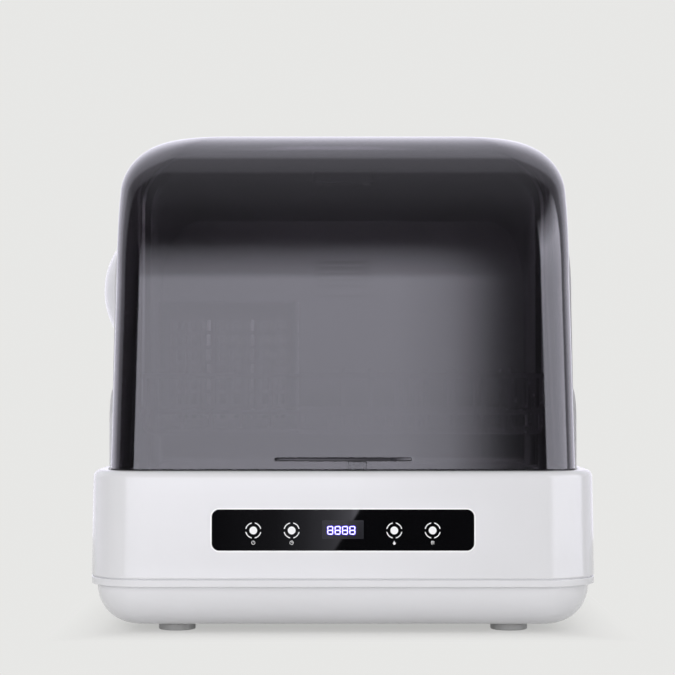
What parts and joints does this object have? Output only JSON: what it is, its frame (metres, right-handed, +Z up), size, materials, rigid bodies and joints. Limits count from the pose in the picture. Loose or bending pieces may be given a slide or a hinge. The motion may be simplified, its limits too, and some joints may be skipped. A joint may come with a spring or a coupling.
{
  "type": "countertop dishwasher",
  "caption": "Compact countertop dishwasher: low white base, smoked visor lid on side hinge arms, wire rack, cutlery basket, spray arm, pumps and a touch panel.",
  "frame": {"origin": "middle of the underside of the feet, at the centre of the bounding box", "axes": "+X to the right as seen from the front, +Y towards the back, +Z up"},
  "size_m": [0.452, 0.392, 0.437],
  "materials": {
    "white_shell": "gloss",
    "smoked_lid": "gloss",
    "panel_glass": "gloss",
    "liner_grey": "satin",
    "grey_plastic": "satin",
    "dark_plastic": "satin",
    "rubber": "matte",
    "steel": "brushed",
    "rack_wire": "satin",
    "circuit_board": "satin",
    "display": "gloss",
    "lamp_clear": "frosted",
    "acetal": "satin"
  },
  "bodies": {
    "cabinet": {"base_pan": "white_shell", "rubber_feet": "rubber", "base_housing": "white_shell", "case_screws": "steel", "panel_bezel": "white_shell", "control_glass": "panel_glass", "control_board": "circuit_board", "board_screws": "steel", "display_module": "display", "touch_springs": "steel", "wash_tub": "grey_plastic", "sump_cup": "grey_plastic", "filter_plate": "steel", "heater_tube": "steel", "spray_riser": "dark_plastic", "spray_nut": "dark_plastic", "wash_pump_housing": "dark_plastic", "wash_pump_motor": "steel", "riser_hose": "rubber", "drain_pump_housing": "dark_plastic", "drain_pump_motor": "steel", "drain_spigot": "grey_plastic", "drain_hose": "rubber", "inlet_valve": "acetal", "inlet_hose": "rubber", "mains_inlet": "dark_plastic", "power_board": "circuit_board", "rear_housing": "white_shell", "rear_cover": "white_shell", "blower_housing": "dark_plastic", "blower_motor": "steel", "air_heater": "steel", "chamber_liner": "liner_grey", "chamber_seal": "rubber", "vent_grille": "grey_plastic", "lamp_lens": "lamp_clear", "lamp_board": "circuit_board", "lid_gasket": "rubber", "lid_switch": "dark_plastic", "hinge_arms": "white_shell", "hinge_bushes": "acetal", "lid_damper": "dark_plastic", "damper_cap": "white_shell", "hinge_cap_right": "white_shell"},
    "lid": {"lid_shell": "smoked_lid", "lid_handle": "smoked_lid", "lid_catch": "dark_plastic", "lid_magnet": "steel", "hinge_pins": "steel"},
    "spray_rotor": {"spray_arm": "grey_plastic"},
    "rack": {"dish_rack": "rack_wire", "long_wires": "rack_wire", "cross_wires": "rack_wire", "plate_tines": "rack_wire", "rack_feet": "grey_plastic"},
    "basket": {"cutlery_basket": "grey_plastic"},
    "filter": {"micro_filter": "grey_plastic"},
    "wash_rotor": {"wash_impeller": "acetal"},
    "drain_rotor": {"drain_impeller": "acetal"},
    "blower_rotor": {"blower_wheel": "dark_plastic"}
  },
  "joints": [
    {"name": "lid_hinge", "type": "hinge", "parent": "cabinet", "child": "lid", "pos_m": [0, 0.038, 0.299], "axis": [-1, 0, 0], "range_deg": [0, 82]},
    {"name": "spray_arm_spin", "type": "hinge", "parent": "cabinet", "child": "spray_rotor", "pos_m": [0, -0.022, 0.11], "axis": [0, 0, 1], "continuous": true},
    {"name": "rack_lift", "type": "slide", "parent": "cabinet", "child": "rack", "axis": [0, 0, 1], "range_m": [0, 0.04]},
    {"name": "basket_lift", "type": "slide", "parent": "rack", "child": "basket", "axis": [0, 0, 1], "range_m": [0, 0.04]},
    {"name": "filter_twist", "type": "hinge", "parent": "cabinet", "child": "filter", "pos_m": [0.1, 0.052, 0.09], "axis": [0, 0, 1], "range_deg": [0, 60]},
    {"name": "wash_impeller_spin", "type": "hinge", "parent": "cabinet", "child": "wash_rotor", "pos_m": [0.025, 0.052, 0.052], "axis": [1, 0, 0], "continuous": true},
    {"name": "drain_impeller_spin", "type": "hinge", "parent": "cabinet", "child": "drain_rotor", "pos_m": [0.164, 0.07, 0.058], "axis": [1, 0, 0], "continuous": true},
    {"name": "blower_spin", "type": "hinge", "parent": "cabinet", "child": "blower_rotor", "pos_m": [0, 0.14, 0.222], "axis": [0, 1, 0], "continuous": true}
  ]
}
